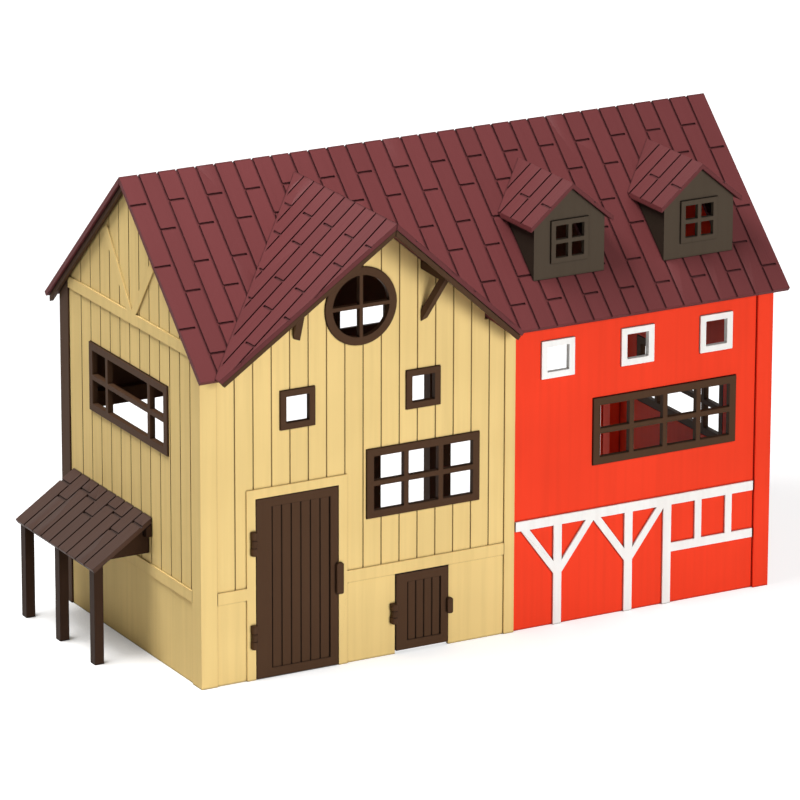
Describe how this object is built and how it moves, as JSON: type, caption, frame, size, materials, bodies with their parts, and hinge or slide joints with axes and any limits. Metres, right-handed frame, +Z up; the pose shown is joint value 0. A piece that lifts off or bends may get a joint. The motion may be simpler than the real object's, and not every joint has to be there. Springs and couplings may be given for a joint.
{
  "type": "toy farm playset",
  "caption": "Plastic farm house playset with plank walls, a long tiled roof, a cross gable, roof dormers, a side lean-to and doors that swing on pin hinges.",
  "frame": {"origin": "middle of the part's box, on the ground", "axes": "+X along the front from the left gable with the lean-to, +Y from the front with the doors to the open back, +Z up"},
  "size_m": [0.447, 0.247, 0.2988],
  "materials": {
    "cream": "satin moulded plastic with plank grooves",
    "red": "smooth satin plastic",
    "roof": "moulded wood grain with plank joints",
    "brown": "satin moulded plastic",
    "olive": "satin moulded plastic",
    "white": "smooth satin plastic"
  },
  "bodies": {
    "house": {"cream_front_wall": "cream", "left_gable_wall": "cream", "front_left_post": "cream", "front_middle_post": "cream", "red_front_wall": "red", "right_gable_wall": "red", "front_right_post": "red", "back_left_post": "brown", "back_right_post": "red", "back_middle_post": "brown", "back_stud": "brown", "back_cross_beam": "brown", "back_top_panel": "brown", "main_roof_front": "roof", "main_roof_back": "roof", "cross_roof_left": "roof", "cross_roof_right": "roof", "dormer_roof_1": "roof", "dormer_roof_2": "roof", "left_gable_rafters": "brown", "right_gable_rafters": "brown", "cross_rafter_left": "brown", "cross_rafter_right": "brown", "knee_bracket_left": "brown", "knee_bracket_right": "brown", "round_window_frame": "brown", "small_window_frame_1": "brown", "small_window_frame_2": "brown", "cream_wide_window_frame": "brown", "red_wide_window_frame": "brown", "left_gable_window_frame": "brown", "right_gable_window_frame": "brown", "dormer_window_frame_1": "olive", "dormer_window_frame_2": "olive", "white_window_frame_1": "white", "white_window_frame_2": "white", "white_window_frame_3": "white", "half_timber_trim": "white", "dormer_body_1": "olive", "dormer_body_2": "olive", "lean_to_roof": "brown", "lean_to_ledger": "brown", "lean_to_post_1": "brown", "lean_to_post_2": "brown", "lean_to_post_3": "brown", "lean_to_cheek_1": "brown", "lean_to_cheek_2": "brown", "lean_to_cheek_3": "brown", "main_door_hinge_1": "brown", "main_door_hinge_2": "brown", "low_door_hinge_1": "brown"},
    "main_door": {"main_door": "brown", "main_door_handle": "brown"},
    "low_door": {"low_door": "brown", "low_door_handle": "brown"}
  },
  "joints": [
    {"name": "main_door_swing", "type": "hinge", "parent": "house", "child": "main_door", "pos_m": [-0.14825, -0.0806, 0.0583], "axis": [0, 0, -1], "range_deg": [0, 120]},
    {"name": "low_door_swing", "type": "hinge", "parent": "house", "child": "low_door", "pos_m": [-0.05195, -0.0806, 0.0272], "axis": [0, 0, -1], "range_deg": [0, 120]}
  ]
}
